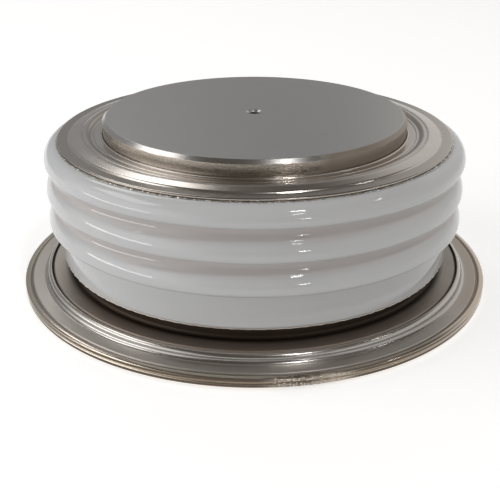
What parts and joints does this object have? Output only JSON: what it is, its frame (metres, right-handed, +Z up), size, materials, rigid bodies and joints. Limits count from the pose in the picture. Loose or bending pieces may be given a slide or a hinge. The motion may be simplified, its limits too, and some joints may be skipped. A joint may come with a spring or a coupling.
{
  "type": "disc thyristor",
  "caption": "Press-pack disc thyristor: ribbed white ceramic ring, nickel-plated contact faces, thin upper flange and wide welded lower flange, with the silicon stack and gate contact inside.",
  "frame": {"origin": "middle of the lower contact face, which the disc rests on", "axes": "+Z up through both contact faces, towards the face in the thin flange; +Y towards the gate terminal"},
  "size_m": [0.099, 0.099, 0.0355],
  "materials": {
    "contact_nickel": "fine matt nickel plate on copper",
    "flange_nickel": "satin nickel plate on pressed sheet",
    "glazed_ceramic": "smooth white gloss glaze",
    "braze": "bright flowed silver braze",
    "molybdenum": "lapped grey metal",
    "silicon": "dark polished silicon",
    "silicone_rubber": "soft matt rubber",
    "white_plastic": "turned white insulating plastic",
    "gilt_brass": "gilt contact pin",
    "spring_steel": "drawn spring wire",
    "copper_wire": "bare drawn copper"
  },
  "bodies": {
    "root": {"anode_pole": "contact_nickel", "lid_flange": "flange_nickel", "housing_flange": "flange_nickel", "lower_braze_ring": "braze", "ceramic_housing": "glazed_ceramic", "upper_braze_ring": "braze", "cathode_flange": "flange_nickel", "cathode_pole": "contact_nickel", "anode_molybdenum_disc": "molybdenum", "silicon_wafer": "silicon", "wafer_edge_bead": "silicone_rubber", "cathode_molybdenum_disc": "molybdenum", "centring_ring": "white_plastic", "gate_cup": "white_plastic", "gate_pin": "gilt_brass", "gate_spring": "spring_steel", "gate_lead": "copper_wire", "gate_lead_sleeve": "white_plastic", "gate_tube": "flange_nickel", "gate_eyelet": "flange_nickel", "gate_terminal": "flange_nickel"}
  },
  "joints": []
}
